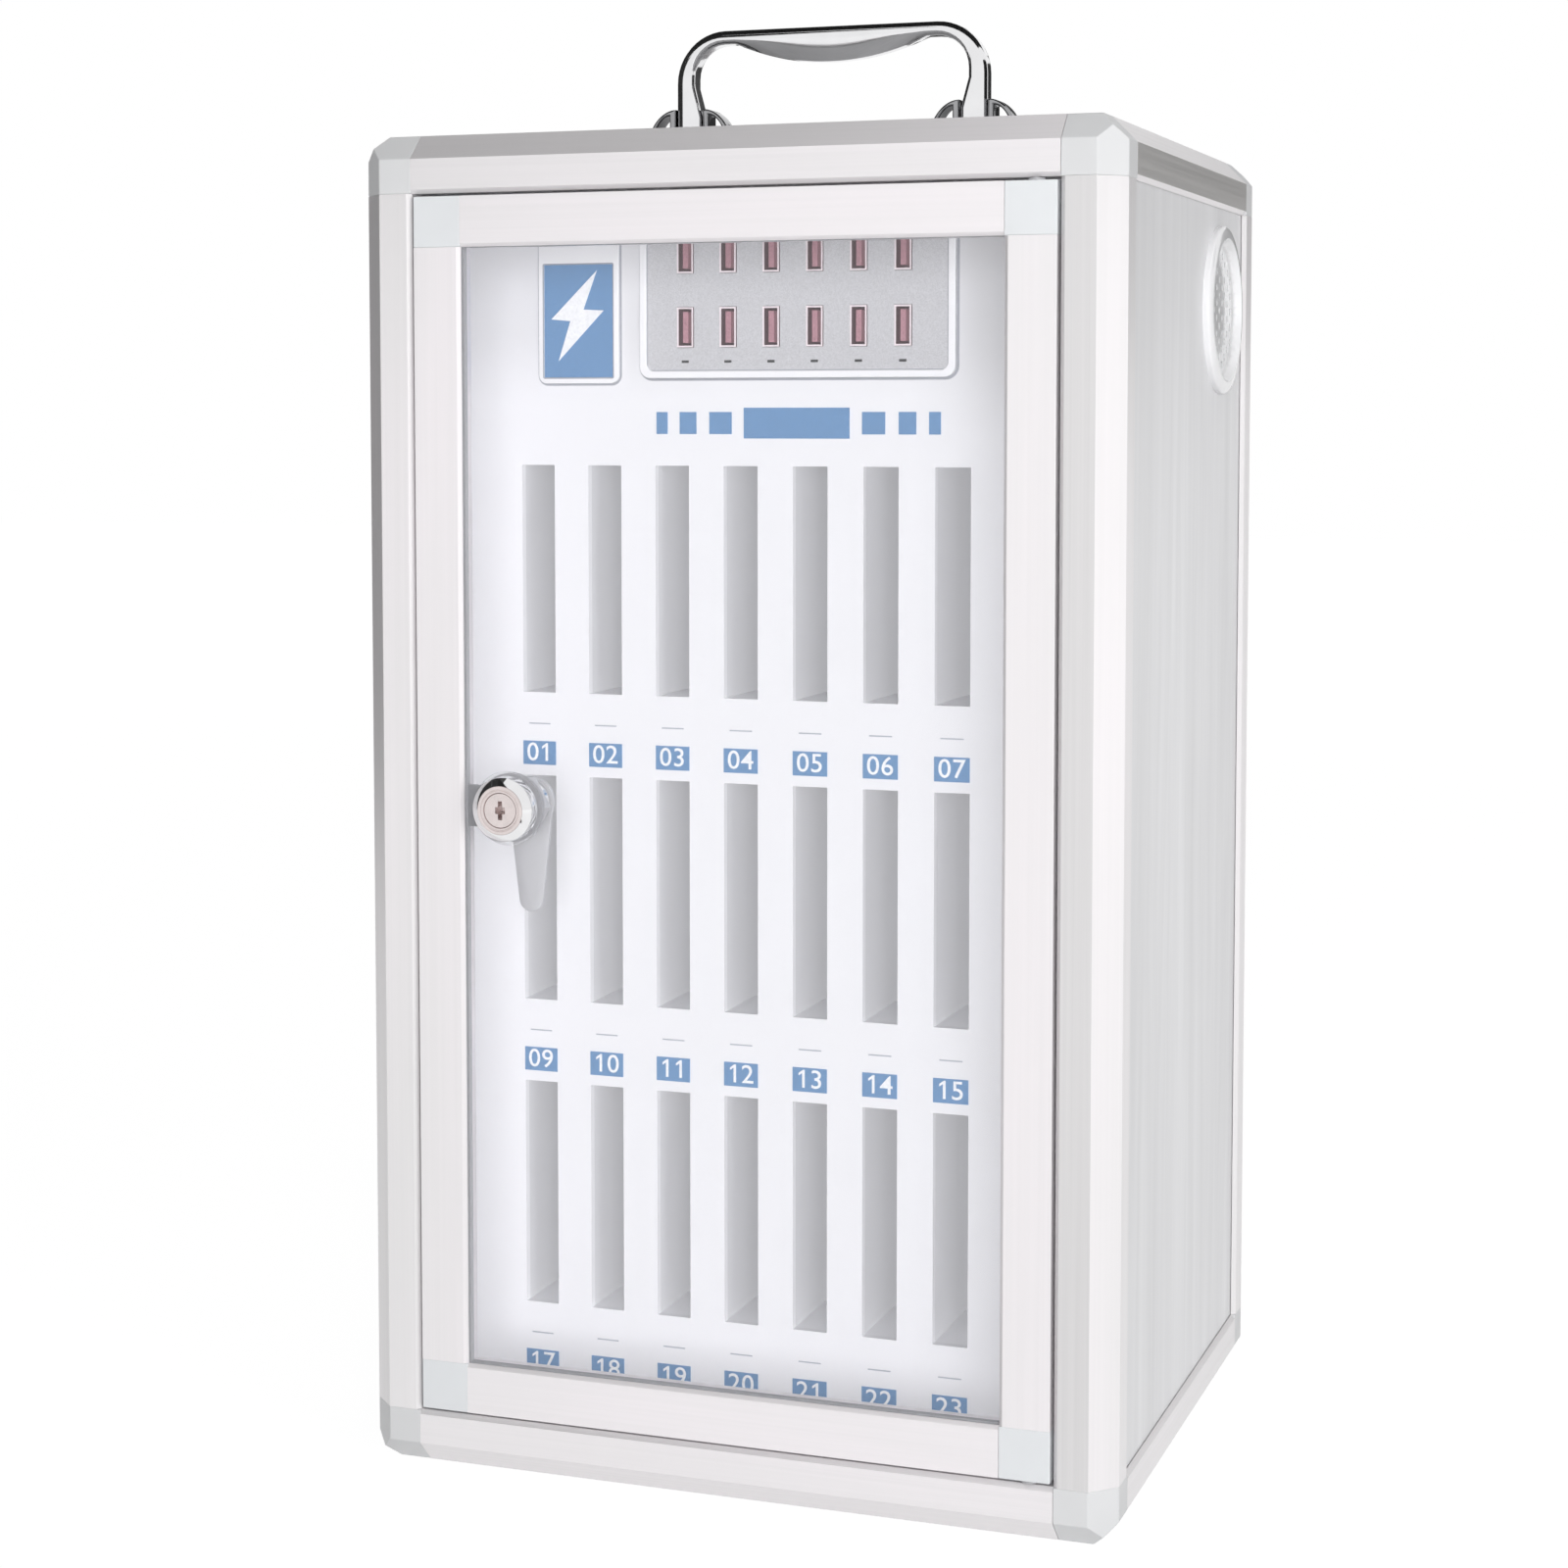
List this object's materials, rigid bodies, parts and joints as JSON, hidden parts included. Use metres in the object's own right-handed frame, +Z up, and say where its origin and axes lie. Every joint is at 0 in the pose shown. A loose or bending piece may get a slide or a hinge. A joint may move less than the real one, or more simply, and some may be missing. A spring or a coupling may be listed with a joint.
{
  "type": "phone locker box",
  "caption": "Upright cabinet with a chamfered aluminium frame, hinged clear door with a cam lock, numbered phone pockets, a USB charger panel and a folding carry handle.",
  "frame": {"origin": "on the floor, under the middle of the cabinet, at the middle of the base", "axes": "+X right as seen from the front, +Y to the back, +Z up"},
  "size_m": [0.2748, 0.2337, 0.5155],
  "materials": {
    "frame_aluminium": "satin anodised",
    "connector_plastic": "satin",
    "silver_board": "brushed metallic film",
    "door_aluminium": "satin anodised",
    "block_plastic": "satin",
    "clear_acrylic": "clear polished",
    "grey_rubber": "matt",
    "steel": "zinc plated",
    "chrome": "polished",
    "white_gloss": "glossy",
    "white_board": "satin",
    "blue_print": "printed",
    "charger_grey": "satin",
    "port_shell": "satin",
    "port_tongue": "satin",
    "dark_plastic": "satin"
  },
  "bodies": {
    "cabinet": {"post_front_left": "frame_aluminium", "post_front_right": "frame_aluminium", "post_back_left": "frame_aluminium", "post_back_right": "frame_aluminium", "rail_top_front": "frame_aluminium", "rail_top_back": "frame_aluminium", "rail_top_left": "frame_aluminium", "rail_top_right": "frame_aluminium", "rail_bottom_front": "frame_aluminium", "rail_bottom_back": "frame_aluminium", "rail_bottom_left": "frame_aluminium", "rail_bottom_right": "frame_aluminium", "corner_connectors_top": "connector_plastic", "corner_connectors_bottom": "connector_plastic", "side_panel_left": "silver_board", "side_panel_right": "silver_board", "back_panel": "silver_board", "top_panel": "silver_board", "bottom_panel": "silver_board", "hinge_pins": "steel", "handle_bracket_left": "chrome", "handle_bracket_right": "chrome", "bracket_rivets": "steel", "slot_panel": "white_gloss", "header_panel": "white_gloss", "rack_beams": "white_board", "rack_dividers": "white_board", "rack_back_board": "white_board", "slot_labels": "blue_print", "legend_tiles": "blue_print", "charger_faceplate": "charger_grey", "charger_case": "charger_grey", "usb_port_shells": "port_shell", "usb_port_tongues": "port_tongue", "port_indicators": "dark_plastic", "sign_bezel": "white_gloss", "sign_field": "blue_print", "power_inlet": "dark_plastic", "inlet_pins": "steel", "inlet_lead": "dark_plastic", "vent_cover_left": "white_gloss", "vent_cover_right": "white_gloss"},
    "door": {"door_stile_lock": "door_aluminium", "door_stile_hinge": "door_aluminium", "door_rail_top": "door_aluminium", "door_rail_bottom": "door_aluminium", "door_corner_blocks": "block_plastic", "door_pane": "clear_acrylic", "pane_gasket": "grey_rubber", "hinge_bushes": "white_gloss", "lock_rosette": "clear_acrylic", "lock_body": "chrome", "lock_nut": "steel", "lock_backing_plate": "steel"},
    "lock_cylinder": {"lock_plug": "chrome", "lock_cam": "steel", "cam_screw": "steel"},
    "handle": {"handle": "chrome", "handle_pins": "steel"}
  },
  "joints": [
    {"name": "door_hinge", "type": "hinge", "parent": "cabinet", "child": "door", "pos_m": [0.107, -0.1108, 0.235], "axis": [0, 0, 1], "range_deg": [0, 120]},
    {"name": "lock_turn", "type": "hinge", "parent": "door", "child": "lock_cylinder", "pos_m": [-0.0804, -0.112, 0.237], "axis": [0, 1, 0], "range_deg": [0, 90]},
    {"name": "handle_fold", "type": "hinge", "parent": "cabinet", "child": "handle", "pos_m": [0, 0, 0.477], "axis": [1, 0, 0], "range_deg": [-90, 90]}
  ]
}
